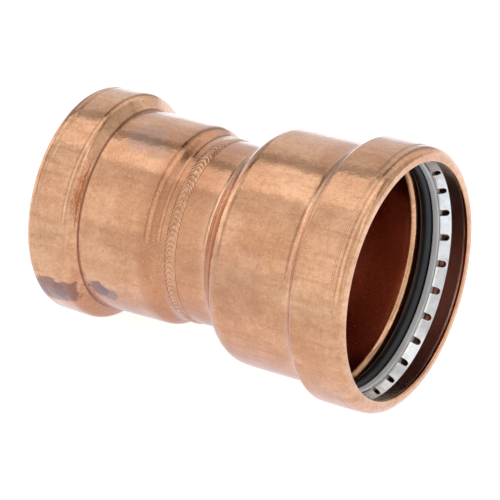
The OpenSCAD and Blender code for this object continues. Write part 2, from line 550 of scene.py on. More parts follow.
# ---------------------------------------------------------------- mesh tools
def rounded(corners: Sequence[tuple[float, float, float]], step_deg: float = 5.0) -> list[Point]:
    """Rounds the corners of a closed outline.

    Args:
        corners: (station, radius from the axis, rounding) of each corner.
        step_deg: turn of each short chord of a rounding.

    Returns:
        The outline's points as (station, radius from the axis).
    """
    points: list[Point] = []
    count = len(corners)
    for i, (s, r, rad) in enumerate(corners):
        here = np.array([s, r])
        if rad <= 0:
            points.append((s, r))
            continue
        a = np.array(corners[i - 1][:2]) - here
        b = np.array(corners[(i + 1) % count][:2]) - here
        a, b = a / np.linalg.norm(a), b / np.linalg.norm(b)
        half = math.acos(max(-1.0, min(1.0, float(a @ b)))) / 2
        middle = here + (a + b) / np.linalg.norm(a + b) * rad / math.sin(half)
        start, end = here + a * rad / math.tan(half) - middle, here + b * rad / math.tan(half) - middle
        turn = math.pi - 2 * half
        chords = max(3, math.ceil(math.degrees(turn) / step_deg))
        for k in range(chords + 1):
            w = k / chords
            arm = (start * math.sin(turn * (1 - w)) + end * math.sin(turn * w)) / math.sin(turn)
            points.append((float(middle[0] + arm[0]), float(middle[1] + arm[1])))
    return points


def filled(points: Sequence[Point], longest: float, closed: bool = True) -> list[Point]:
    """Splits the long sides of an outline.

    Args:
        points: the outline's points.
        longest: longest side that stays whole.
        closed: whether the last point joins the first.

    Returns:
        The outline with the added points.
    """
    out: list[Point] = []
    count = len(points)
    for i in range(count if closed else count - 1):
        p, q = np.array(points[i]), np.array(points[(i + 1) % count])
        parts = max(1, math.ceil(float(np.linalg.norm(q - p)) / longest))
        out += [tuple(p + (q - p) * k / parts) for k in range(parts)]
    if not closed:
        out.append(points[-1])
    return out


def mesh_object(name: str, verts: Any, faces: Any) -> bpy.types.Object:
    """Makes a smooth-shaded mesh object.

    Args:
        name: name of the object.
        verts: vertices in millimetres.
        faces: vertex numbers of each face.

    Returns:
        The object, linked to the scene.
    """
    mesh = bpy.data.meshes.new(name)
    mesh.from_pydata((np.asarray(verts) * MM).tolist(), [], faces)
    mesh.validate()
    mesh.shade_smooth()
    made = bpy.data.objects.new(name, mesh)
    bpy.context.scene.collection.objects.link(made)
    return made


def faced_out(obj: bpy.types.Object) -> bpy.types.Object:
    """Turns a closed mesh's faces outwards.

    Args:
        obj: object with the mesh.

    Returns:
        The same object.
    """
    work = bmesh.new()
    work.from_mesh(obj.data)
    bmesh.ops.recalc_face_normals(work, faces=work.faces)
    work.to_mesh(obj.data)
    work.free()
    return obj


def revolved(
    name: str,
    outline: Sequence[Point],
    steps: int,
    start: float = 0.0,
    sweep: float = TURN,
    shape: Optional[Callable[[Any, Any, Any], Any]] = None,
) -> bpy.types.Object:
    """Turns a closed outline about X.

    Args:
        name: name of the object.
        outline: (x, radius) points in millimetres.
        steps: divisions round the axis.
        start: angle of the first section, from +Y towards +Z.
        sweep: angle turned; less than a full turn gives a split ring with closed ends.
        shape: optional change of radius from arrays of x, radius and angle.

    Returns:
        The object.
    """
    whole = abs(sweep - TURN) < 1e-9
    rows = steps if whole else steps + 1
    x, r = (np.array(c) for c in zip(*outline))
    angle = start + np.arange(rows) * sweep / steps
    xx, aa = np.meshgrid(x, angle)
    rr = np.broadcast_to(r, xx.shape).copy()
    if shape is not None:
        rr = shape(xx, rr, aa)
    verts = np.stack([xx, rr * np.cos(aa), rr * np.sin(aa)], -1).reshape(-1, 3)
    n = len(outline)
    faces: list[tuple[int, ...]] = []
    for i in range(steps):
        j = (i + 1) % rows
        faces += [(i * n + k, j * n + k, j * n + (k + 1) % n, i * n + (k + 1) % n) for k in range(n)]
    if not whole:
        faces += [tuple(range(n)), tuple(range((rows - 1) * n, rows * n))]
    return faced_out(mesh_object(name, verts, faces))


def settle(obj: bpy.types.Object, name: str) -> bpy.types.Object:
    """Makes an object's evaluated modifiers its plain mesh and removes them.

    Args:
        obj: object with modifiers.
        name: name that the object and its mesh get.

    Returns:
        The same object.
    """
    graph = bpy.context.evaluated_depsgraph_get()
    mesh = bpy.data.meshes.new_from_object(obj.evaluated_get(graph))
    obj.modifiers.clear()
    old = obj.data
    obj.data = mesh
    mesh.name = name
    obj.name = name
    bpy.data.meshes.remove(old)
    mesh.shade_smooth()
    return obj


def wear(obj: bpy.types.Object, material: bpy.types.Material) -> None:
    """Gives an object one material.

    Args:
        obj: object to dress.
        material: the only material it keeps.
    """
    obj.data.materials.clear()
    obj.data.materials.append(material)


class NodeMaker:
    """A geometry node tree with named inputs, made in script."""

    def __init__(self, name: str) -> None:
        """Starts a tree that takes and gives a mesh.

        Args:
            name: name of the tree.
        """
        self.tree = bpy.data.node_groups.new(name, "GeometryNodeTree")
        self.sockets: dict[str, Any] = {}
        self.tree.interface.new_socket(name="Mesh", in_out="OUTPUT", socket_type="NodeSocketGeometry")
        self.want("Mesh", "NodeSocketGeometry")
        self.source: Optional[bpy.types.Node] = None

    def want(self, name: str, kind: str) -> None:
        """Adds an input.

        Args:
            name: name of the input.
            kind: Blender's name for its socket type.
        """
        self.sockets[name] = self.tree.interface.new_socket(name=name, in_out="INPUT", socket_type=kind)

    def given(self, name: str) -> Any:
        """Finds an input inside the tree.

        Args:
            name: name of the input.

        Returns:
            The socket that holds it.
        """
        if self.source is None:
            self.source = self.tree.nodes.new("NodeGroupInput")
        return self.source.outputs[name]

    def finish(self, geometry: Any) -> None:
        """Ends the tree in Realize Instances and Set Material.

        Args:
            geometry: socket with the finished geometry.
        """
        real = add(self.tree, "GeometryNodeRealizeInstances", None, {0: geometry})
        dressed = add(
            self.tree,
            "GeometryNodeSetMaterial",
            None,
            {"Geometry": real.outputs[0], "Material": self.given("Finish")},
        )
        out = self.tree.nodes.new("NodeGroupOutput")
        self.tree.links.new(dressed.outputs[0], out.inputs[0])

    def apply(self, obj: bpy.types.Object, name: str, values: dict[str, Any]) -> bpy.types.Object:
        """Runs the tree on an object and keeps the result as its plain mesh.

        Args:
            obj: object whose mesh goes in.
            name: name of the finished piece.
            values: value of each named input.

        Returns:
            The object with its new mesh.
        """
        modifier = obj.modifiers.new(self.tree.name, "NODES")
        modifier.node_group = self.tree
        for key, value in values.items():
            modifier[self.sockets[key].identifier] = value
        obj.update_tag()
        return settle(obj, name)


# ---------------------------------------------------------------- the coupling's pieces
class Side(Enum):
    """Which end of the coupling a piece belongs to."""

    LARGE = 1
    SMALL = -1


@dataclass
class SocketEnd:
    """Sizes that one end's shell, seal, separator and grip ring share, in millimetres."""

    side: Side
    bore_r: float
    chamber_h: float
    band: float
    depth: float
    slope: float
    shoulder_r: float
    foot_r: float
    neck: float
    slots: int
    bead_slope: float
    outer_slope: float
    bead_crease_r: float
    bead_root_r: float
    ring_turn: float = 0.0
    # how strongly the crease behind the bead is painted dark, as painted shade
    painted_shade: float = 0.0
    wall: float = 2.0
    lip_bend_r: float = 3.6
    lip_edge_r: float = 0.7
    seal_squeeze: float = 0.1
    seal_gap: float = 0.05
    ring_gap: float = 0.3
    front_gap: float = 0.6
    mouth_relief: float = 1.65
    separator_relief: float = 1.15
    separator_width: float = 2.3
    grip_thickness: float = 0.6
    tooth_length: float = 3.4
    slot_width: float = 2.4
    slot_length: float = 2.9
    split_gap: float = 2.6
    neck_r: float = 32.35

    def __post_init__(self) -> None:
        """Works out the radii and stations that follow from the sizes."""
        tilt = math.radians(self.bead_slope)
        self.chamber_r = self.bore_r + self.chamber_h
        self.bead_r = self.chamber_r + self.wall
        self.tube_r = self.bore_r + self.wall
        self.lip_r = self.bore_r + self.mouth_relief
        self.seal_d = self.chamber_h + self.seal_squeeze
        self.seal_mid_r = self.bore_r + self.seal_d / 2
        self.grip_front = self.wall + self.front_gap
        self.tooth_root = self.grip_front + self.band
        self.tooth_tip = self.tooth_root + self.tooth_length
        self.separator_front = self.tooth_tip + self.ring_gap
        self.separator_back = self.separator_front + self.separator_width
        self.seal_mid = self.separator_back + self.ring_gap + self.seal_d / 2
        rest = (self.chamber_r - self.seal_mid_r) * math.cos(tilt)
        self.chamber_back = self.seal_mid + (self.seal_d / 2 + self.seal_gap - rest) / math.sin(tilt)
        self.bead_slip = self.wall * math.tan(tilt / 2)
        self.bead_back = self.chamber_back + self.bead_slip
        self.tube_front = self.bead_back + (self.bead_r - self.tube_r) / math.tan(tilt)
        lean = math.radians(self.slope)
        self.slip = self.wall * math.tan(lean / 2)
        self.shoulder_top = self.depth + self.shoulder_r * math.tan(lean / 2)
        self.shoulder_foot = self.shoulder_top + (self.tube_r - self.neck_r) / math.tan(lean)
        self.neck_end = self.shoulder_foot + self.neck
        self.mouth_x = 0.0

    @property
    def word(self) -> str:
        """The end's name in piece names.

        Returns:
            "large" or "small".
        """
        return self.side.name.lower()

    def along(self, station: float) -> float:
        """X of a station of this end.

        Args:
            station: distance from the mouth into the coupling.

        Returns:
            The place along X in millimetres.
        """
        return self.mouth_x - self.side.value * station

    def placed(self, outline: Sequence[Point]) -> list[Point]:
        """Turns stations into places along X.

        Args:
            outline: (station, radius) points.

        Returns:
            The points as (x, radius).
        """
        return [(self.along(s), r) for s, r in outline]


@dataclass
class CopperShell:
    """One drawn copper socket with its rolled bead, shoulder and half of the neck."""

    end: SocketEnd
    steps: int = 264
    longest: float = 1.15
    wobble: float = 0.09
    tube_barrel: float = 0.16
    bead_barrel: float = 0.10
    seed: int = 3
    # marks of the bead roller: station and depth; their half width and rounding
    roll_marks: tuple[tuple[float, float], ...] = ((4.7, 0.07), (5.35, 0.05))
    mark_half: float = 0.28
    mark_r: float = 0.10
    # how far the lip and the skin between the marks stay under the bead's radius
    lip_drop: float = 0.12
    skin_drop: float = 0.06
    rim_r: float = 3.0
    chamber_corner_r: float = 2.9
    # reach and longest side of the fine part at the bead's root, and reach of its painted shade
    fine_reach: float = 1.6
    fine: float = 0.22
    crease_shade_reach: float = 0.5
    # the dies' grip on the tube ends this far from the weld, where the necks stay true
    neck_true: float = 3.0
    # the bores are sized beyond this distance from the middle of the coupling
    sized_from: float = 20.0
    # swells: how many round the tube, and their pitch along it
    swells: tuple[tuple[int, int], ...] = ((2, 90), (3, 60), (5, 34), (7, 22), (4, 15), (9, 12))

    def outline(self) -> list[Point]:
        """Outline of the wall, with the roller's marks near the lip.

        Returns:
            Closed outline as (station, radius) points.
        """
        e = self.end
        run = (e.bead_r - e.tube_r) / math.tan(math.radians(e.outer_slope))
        corners = [
            (0.0, e.lip_r, e.lip_edge_r),
            (0.0, e.bead_r - self.lip_drop, e.lip_bend_r),
        ]
        for station, depth in sorted(self.roll_marks):
            corners += [
                (station - self.mark_half, e.bead_r - self.skin_drop, self.mark_r),
                (station, e.bead_r - self.skin_drop - depth, self.mark_r),
                (station + self.mark_half, e.bead_r - self.skin_drop / 3, self.mark_r),
            ]
        corners += [
            (e.tube_front - run, e.bead_r, e.bead_crease_r),
            (e.tube_front, e.tube_r, e.bead_root_r),
            (e.shoulder_top, e.tube_r, e.shoulder_r),
            (e.shoulder_foot, e.neck_r, e.foot_r),
            (e.neck_end, e.neck_r, 0),
            (e.neck_end, e.neck_r - e.wall, 0),
            (e.shoulder_foot - e.slip, e.neck_r - e.wall, e.foot_r + e.wall),
            (e.shoulder_top - e.slip, e.bore_r, e.shoulder_r - e.wall),
            (e.tube_front - e.bead_slip, e.bore_r, self.rim_r),
            (e.chamber_back, e.chamber_r, 0),
            (e.wall, e.chamber_r, self.chamber_corner_r - e.wall),
            (e.wall, e.lip_r, e.lip_edge_r),
        ]
        points = filled(rounded(corners), self.longest)
        # the root of the bead, which carries the painted shade, has finer sides
        at_root = [
            i
            for i, (s, r) in enumerate(points)
            if abs(s - e.tube_front) < self.fine_reach and r > e.tube_r - 0.6
        ]
        first, last = at_root[0], at_root[-1]
        root = filled(points[first : last + 1], self.fine, closed=False)
        return root + points[last + 1 :] + points[:first]

    def inward(self, outline: Sequence[Point]) -> Any:
        """How far each outline point belongs to the inside.

        Args:
            outline: the wall's outline.

        Returns:
            A share from 0 to 1 for each point.
        """
        points = np.array(outline)
        run = np.roll(points, -1, 0) - np.roll(points, 1, 0)
        faces_in = run[:, 0] < -1e-6
        s = points[:, 0]
        front = np.clip((s - self.end.wall - 0.2) / 2.0, 0.0, 1.0) * (s < self.end.chamber_back)
        bore = np.clip((s - self.end.tube_front + 1.4) / 3.6, 0.0, 1.0)
        return np.where(faces_in, np.maximum(0.55 * front, bore), 0.0)

    def crease_shading(self, outline: Sequence[Point]) -> Any:
        """How much painted shade each outline point gets in the crease behind the bead.

        Args:
            outline: the wall's outline.

        Returns:
            A share from 0 to 1 for each point.
        """
        points = np.array(outline)
        away = np.hypot(points[:, 0] - self.end.tube_front, points[:, 1] - self.end.tube_r)
        return self.end.painted_shade * np.clip(1.3 - away / self.crease_shade_reach, 0.0, 1.0)

    def unevenness(self, x: Any, r: Any, a: Any) -> Any:
        """Takes a little off the radius where the dies left the tube uneven.

        Args:
            x: places along X.
            r: radii.
            a: angles round the axis.

        Returns:
            The changed radii.
        """
        e = self.end
        rng = np.random.default_rng(self.seed)
        dip = np.zeros_like(r)
        for turns, pitch in self.swells:
            phase, other = rng.uniform(0, TURN, 2)
            dip += np.sin(turns * a + phase) * np.sin(TURN * x / pitch + other)
        dip = self.wobble * (0.5 + dip / 8)
        # the outside gives way; the bores and what sits in the chamber keep their size
        loose = (r > e.tube_r - 0.02) | (r > e.neck_r - 0.5)
        inner = (r < e.bore_r + 0.05) & (np.abs(x) > self.sized_from)
        station = np.abs(x - e.mouth_x)
        tube = np.clip((station - e.tube_front) / (e.depth - e.tube_front), 0, 1) * 2 - 1
        bead = np.clip((station - e.lip_bend_r) / (e.bead_back - e.lip_bend_r), 0, 1) * 2 - 1
        barrel = np.where(station > e.bead_back + 1, self.tube_barrel * tube**2, self.bead_barrel * bead**2)
        slope = np.clip((e.shoulder_foot - station) / (e.shoulder_foot - e.shoulder_top), 0, 1)
        dip = (dip + barrel * slope) * np.clip((e.neck_end - station) / self.neck_true, 0, 1)
        return r - np.clip(dip, 0, None) * np.where(inner, 0.0, 1.0) * loose

    def build(self, finish: bpy.types.Material) -> bpy.types.Object:
        """Makes the shell, dresses it and puts it on the coupling's body.

        Args:
            finish: copper.

        Returns:
            The finished piece.
        """
        e = self.end
        name = f"{e.word}_copper_shell"
        outline = self.outline()
        made = revolved(name, e.placed(outline), self.steps, shape=self.unevenness)
        for label, values in (("inside", self.inward(outline)), ("crease", self.crease_shading(outline))):
            mask = made.data.attributes.new(label, "FLOAT", "POINT")
            mask.data.foreach_set("value", np.tile(values, self.steps))
        wear(made, finish)
        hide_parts(f"{e.word}_shell")
        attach(made, "coupling_body")
        return made


@dataclass
class WeldSeam:
    """The rippled weld that joins the two necks."""

    station_x: float
    neck_r: float = 32.35
    wall: float = 2.0
    width: float = 4.4
    height: float = 0.50
    root_width: float = 1.6
    ripples: int = 108
    ripple_height: float = 0.24
    crescent: float = 2.3
    steps: int = 1296
    crown_chords: int = 20
    # fullness of a crescent's arc, wander of the ripples and how sharp their grooves are
    arc_fullness: float = 0.93
    lumps_per_m: float = 260.0
    wander: float = 1.8
    sharpness: float = 0.7

    def outline(self) -> list[Point]:
        """Section of the seam before its ripples.

        Returns:
            Closed outline as (x, radius) points.
        """
        arc_r = (self.height**2 + (self.width / 2) ** 2) / (2 * self.height)
        sweep = math.asin(self.width / 2 / arc_r)
        crown = []
        for k in range(self.crown_chords + 1):
            a = sweep * (1 - 2 * k / self.crown_chords)
            crown.append((arc_r * math.sin(a), self.neck_r + self.height - arc_r * (1 - math.cos(a))))
        half = self.root_width / 2
        root = [
            (-half, self.neck_r - 0.02),
            (-half, self.neck_r - self.wall),
            (half, self.neck_r - self.wall),
            (half, self.neck_r - 0.02),
        ]
        return [(self.station_x + x, r) for x, r in crown + root]

    def rippler(self) -> NodeMaker:
        """Makes a tree that presses overlapping crescents into the crown of the seam.

        Returns:
            The tree's maker.
        """
        maker = NodeMaker("weld ripples")
        for name in ("Ripples", "Ripple Height", "Crescent", "Half Width", "Station", "Neck Radius"):
            maker.want(name, "NodeSocketFloat")
        maker.want("Seed", "NodeSocketFloat")
        maker.want("Finish", "NodeSocketMaterial")
        t = maker.tree
        place = add(t, "GeometryNodeInputPosition").outputs[0]
        split = add(t, "ShaderNodeSeparateXYZ", None, {0: place})
        x, y, z = split.outputs
        angle = maths(t, "ARCTAN2", z, y)
        radius = maths(t, "SQRT", maths(t, "ADD", maths(t, "MULTIPLY", y, y), maths(t, "MULTIPLY", z, z)))
        off = maths(t, "SUBTRACT", x, maker.given("Station"))
        across = maths(t, "DIVIDE", off, maker.given("Half Width"))
        square = maths(t, "MULTIPLY", across, across)
        uneven = add(
            t,
            "ShaderNodeTexNoise",
            {"noise_dimensions": "4D"},
            {"Vector": place, "W": maker.given("Seed"), "Scale": self.lumps_per_m, "Detail": 2.0},
        ).outputs[0]
        phase = maths(t, "MULTIPLY", angle, maths(t, "DIVIDE", maker.given("Ripples"), TURN))
        arc = maths(t, "SQRT", maths(t, "SUBTRACT", 1.0, maths(t, "MULTIPLY", square, self.arc_fullness)))
        arc = maths(t, "SUBTRACT", 1.0, arc)
        phase = maths(t, "SUBTRACT", phase, maths(t, "MULTIPLY", arc, maker.given("Crescent")))
        phase = maths(t, "ADD", phase, maths(t, "MULTIPLY", uneven, self.wander))
        part = maths(t, "POWER", maths(t, "FRACT", phase), self.sharpness)
        swing = maths(t, "MULTIPLY_ADD", part, 2.0, -1.0)
        dome = maths(t, "MULTIPLY", swing, swing)
        room = maths(t, "SUBTRACT", 1.0, maths(t, "MULTIPLY", square, square), clamp=True)
        outside = maths(t, "GREATER_THAN", radius, maker.given("Neck Radius"))
        groove = maths(t, "MULTIPLY", maths(t, "MULTIPLY", dome, room), outside)
        depth = maths(t, "MULTIPLY", maker.given("Ripple Height"), groove)
        flatter = maths(t, "MULTIPLY", depth, -1.0)
        shift = add(
            t,
            "ShaderNodeCombineXYZ",
            None,
            {
                0: 0.0,
                1: maths(t, "MULTIPLY", maths(t, "COSINE", angle), flatter),
                2: maths(t, "MULTIPLY", maths(t, "SINE", angle), flatter),
            },
        ).outputs[0]
        marked = add(
            t,
            "GeometryNodeStoreNamedAttribute",
            {"data_type": "FLOAT", "domain": "POINT"},
            {"Geometry": maker.given("Mesh"), "Name": "groove", "Value": groove},
        )
        moved = add(t, "GeometryNodeSetPosition", None, {"Geometry": marked.outputs[0], "Offset": shift})
        maker.finish(moved.outputs[0])
        return maker

    def build(self, finish: bpy.types.Material) -> bpy.types.Object:
        """Makes the seam, dresses it and puts it on the coupling's body.

        Args:
            finish: weld metal.

        Returns:
            The finished piece.
        """
        made = revolved("weld_seam", self.outline(), self.steps)
        values = {
            "Ripples": float(self.ripples),
            "Ripple Height": self.ripple_height * MM,
            "Crescent": self.crescent,
            "Half Width": self.width / 2 * MM,
            "Station": self.station_x * MM,
            "Neck Radius": (self.neck_r + 0.03) * MM,
            "Seed": 7.0,
            "Finish": finish,
        }
        self.rippler().apply(made, "weld_seam", values)
        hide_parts("weld_bead")
        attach(made, "coupling_body")
        return made


@dataclass
class RubberSeal:
    """Round-section seal with the faint parting line of its mould."""

    end: SocketEnd
    steps: int = 288
    around: int = 44
    parting: float = 0.02
    # half width of the parting line and its lead before the pole, in radians
    parting_half: float = 0.16
    parting_lead: float = 0.02

    def build(self, finish: bpy.types.Material) -> bpy.types.Object:
        """Makes the seal, dresses it and puts it on the coupling's body.

        Args:
            finish: rubber.

        Returns:
            The finished piece.
        """
        e = self.end
        half = e.seal_d / 2 - self.parting
        outline = []
        for k in range(self.around):
            a = TURN * k / self.around
            off = abs(((a + self.parting_lead) % math.pi) - self.parting_lead)
            r = half + self.parting * max(0.0, 1 - off / self.parting_half)
            outline.append((e.seal_mid + r * math.sin(a), e.seal_mid_r + r * math.cos(a)))
        made = revolved(f"{e.word}_rubber_seal", e.placed(outline), self.steps)
        wear(made, finish)
        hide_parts(f"{e.word}_seal")
        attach(made, "coupling_body")
        return made


@dataclass
class SeparatorRing:
    """Split plastic ring between the grip teeth and the seal."""

    end: SocketEnd
    steps: int = 256
    front_edge_r: float = 0.5
    edge_r: float = 0.3
    step_deg: float = 15
    longest: float = 0.6

    def build(self, finish: bpy.types.Material) -> bpy.types.Object:
        """Makes the ring, dresses it and puts it on its own body.

        Args:
            finish: the ring's material.

        Returns:
            The finished piece.
        """
        e = self.end
        inner, outer = e.bore_r + e.separator_relief, e.chamber_r - e.ring_gap
        corners = [
            (e.separator_front, inner, self.front_edge_r),
            (e.separator_front, outer, self.edge_r),
            (e.separator_back, outer, self.edge_r),
            (e.separator_back, inner, self.edge_r),
        ]
        outline = filled(rounded(corners, self.step_deg), self.longest)
        gap = math.asin(e.split_gap / 4 / outer)
        made = revolved(
            f"{e.word}_separator_ring",
            e.placed(outline),
            self.steps,
            math.pi + gap,
            TURN - 2 * gap,
        )
        wear(made, finish)
        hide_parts(f"{e.word}_separator")
        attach(made, f"{e.word}_separator_body")
        return made


@dataclass
class GripRing:
    """Split steel ring: a plain band with a skirt of teeth between round-ended slots."""

    end: SocketEnd
    end_margin: float = 0.75
    columns: int = 7
    bend_r: float = 0.45
    sheared_edge: float = 0.07

    def __post_init__(self) -> None:
        """Works out the developed strip that the ring is bent from."""
        e = self.end
        self.outer = e.chamber_r - e.ring_gap
        self.inner = self.outer - e.grip_thickness
        self.lean = math.atan((self.inner - e.lip_r) / e.tooth_length)
        self.gap = 2 * math.asin(e.split_gap / 2 / self.outer)
        self.pitch = (TURN - self.gap) / (e.slots - 1 + 2 * self.end_margin)
        bend = self.bend_r * math.tan(self.lean / 2)
        self.band_run = e.tooth_root - e.grip_front - bend
        self.bend_run = self.bend_r * self.lean
        self.tooth_run = e.tooth_length / math.cos(self.lean) - bend

    def surface(self, run: float) -> Point:
        """Finds a place on the inside of the ring.

        Args:
            run: distance along the flat strip that the ring is bent from.

        Returns:
            Station and radius.
        """
        e = self.end
        if run <= self.band_run:
            return e.grip_front + run, self.inner
        start = e.grip_front + self.band_run
        turned = min(self.lean, (run - self.band_run) / self.bend_r)
        s = start + self.bend_r * math.sin(turned)
        r = self.inner - self.bend_r * (1 - math.cos(turned))
        over = max(0.0, run - self.band_run - self.bend_run)
        return s + over * math.cos(self.lean), r - over * math.sin(self.lean)

    def rows(self) -> tuple[list[float], float, float]:
        """Spaces the mesh's rows along the strip.

        Returns:
            Distances of the rows, where a slot starts and where it has its full width.
        """
        e = self.end
        total = self.band_run + self.bend_run + self.tooth_run
        length = e.slot_length / math.cos(self.lean)
        start = total - length
        full = start + e.slot_width / 2
        rows = list(np.linspace(0, self.band_run, 6))
        rows += list(np.linspace(self.band_run, self.band_run + self.bend_run, 5)[1:])
        rows += list(np.linspace(self.band_run + self.bend_run, start, 3)[1:])
        rows += [full - (full - start) * math.cos(a) for a in np.linspace(0, math.pi / 2, 9)[1:]]
        rows += list(np.linspace(full, total, 3)[1:])
        return rows, start, full

    def patch(self, name: str, low: float, high: float, slotted: bool) -> bpy.types.Object:
        """Inner skin of the ring from one angle to another.

        Args:
            name: name of the object.
            low: first angle, from the middle of the slot.
            high: last angle.
            slotted: whether a slot is cut at angle 0.

        Returns:
            An open mesh that Solidify thickens.
        """
        e = self.end
        rows, start, full = self.rows()
        half = e.slot_width / 2
        verts: list[tuple[float, float, float]] = []
        grid: list[list[list[int]]] = []
        for run in rows:
            s, r = self.surface(run)
            w = 0.0
            if slotted and run > start + 1e-9:
                w = half if run >= full else math.sqrt(max(0.0, half**2 - (full - run) ** 2))
            cut = w / r
            sides = [(low, -cut), (cut, high)] if slotted else [(low, high)]
            line: list[list[int]] = []
            for a0, a1 in sides:
                ids = []
                for k in range(self.columns + 1):
                    a = a0 + (a1 - a0) * k / self.columns
                    ids.append(len(verts))
                    verts.append((e.along(s), r * math.cos(a), r * math.sin(a)))
                line.append(ids)
            grid.append(line)
        faces = []
        for lower, upper in zip(grid, grid[1:]):
            for one, two in zip(lower, upper):
                faces += [(one[k], one[k + 1], two[k + 1], two[k]) for k in range(self.columns)]
        return mesh_object(name, verts, faces)

    def repeater(self) -> NodeMaker:
        """Makes a tree that repeats one tooth pitch round the axis and welds the pitches.

        Returns:
            The tree's maker.
        """
        maker = NodeMaker("teeth round the ring")
        maker.want("Slots", "NodeSocketInt")
        maker.want("Pitch", "NodeSocketFloat")
        maker.want("First", "NodeSocketFloat")
        maker.want("Weld Distance", "NodeSocketFloat")
        maker.want("Finish", "NodeSocketMaterial")
        t = maker.tree
        spots = add(t, "GeometryNodePoints", None, {"Count": maker.given("Slots")})
        index = add(t, "GeometryNodeInputIndex").outputs[0]
        angle = maths(t, "MULTIPLY_ADD", index, maker.given("Pitch"), maker.given("First"))
        turn = add(t, "ShaderNodeCombineXYZ", None, {0: angle}).outputs[0]
        copies = add(
            t,
            "GeometryNodeInstanceOnPoints",
            None,
            {"Points": spots.outputs[0], "Instance": maker.given("Mesh"), "Rotation": turn},
        )
        real = add(t, "GeometryNodeRealizeInstances", None, {0: copies.outputs[0]})
        welded = add(
            t,
            "GeometryNodeMergeByDistance",
            None,
            {"Geometry": real.outputs[0], "Distance": maker.given("Weld Distance")},
        )
        maker.finish(welded.outputs[0])
        return maker

    def build(self, finish: bpy.types.Material) -> bpy.types.Object:
        """Makes the ring, dresses it and puts it on its own body.

        Args:
            finish: the ring's material.

        Returns:
            The finished piece.
        """
        e = self.end
        name = f"{e.word}_toothed_ring"
        split = math.pi + math.radians(e.ring_turn)
        first = split + self.gap / 2 + self.end_margin * self.pitch
        made = self.patch(name, -self.pitch / 2, self.pitch / 2, True)
        values = {
            "Slots": e.slots,
            "Pitch": self.pitch,
            "First": first,
            "Weld Distance": SAME_PLACE,
            "Finish": finish,
        }
        self.repeater().apply(made, name, values)
        low, high = split + self.gap / 2, first - self.pitch / 2
        last = first + (e.slots - 0.5) * self.pitch
        work = bmesh.new()
        work.from_mesh(made.data)
        for tag, a0, a1 in (("a", low, high), ("b", last, last + high - low)):
            tip = self.patch(f"{name}_{tag}", a0, a1, False)
            work.from_mesh(tip.data)
            bpy.data.objects.remove(tip)
        bmesh.ops.remove_doubles(work, verts=work.verts, dist=SAME_PLACE)
        bmesh.ops.recalc_face_normals(work, faces=work.faces)
        out = sum(f.normal.yz.dot(f.calc_center_median().yz) for f in work.faces)
        if out < 0:
            bmesh.ops.reverse_faces(work, faces=work.faces)
        work.to_mesh(made.data)
        work.free()
        thick = made.modifiers.new("strip thickness", "SOLIDIFY")
        thick.thickness = e.grip_thickness * MM
        thick.offset = 1.0
        thick.use_even_offset = True
        edge = made.modifiers.new("sheared edge", "BEVEL")
        edge.width = self.sheared_edge * MM
        edge.segments = 2
        edge.limit_method = "ANGLE"
        edge.angle_limit = math.radians(50)
        settle(made, name)
        wear(made, finish)
        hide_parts(f"{e.word}_grip_ring")
        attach(made, f"{e.word}_grip_body")
        return made


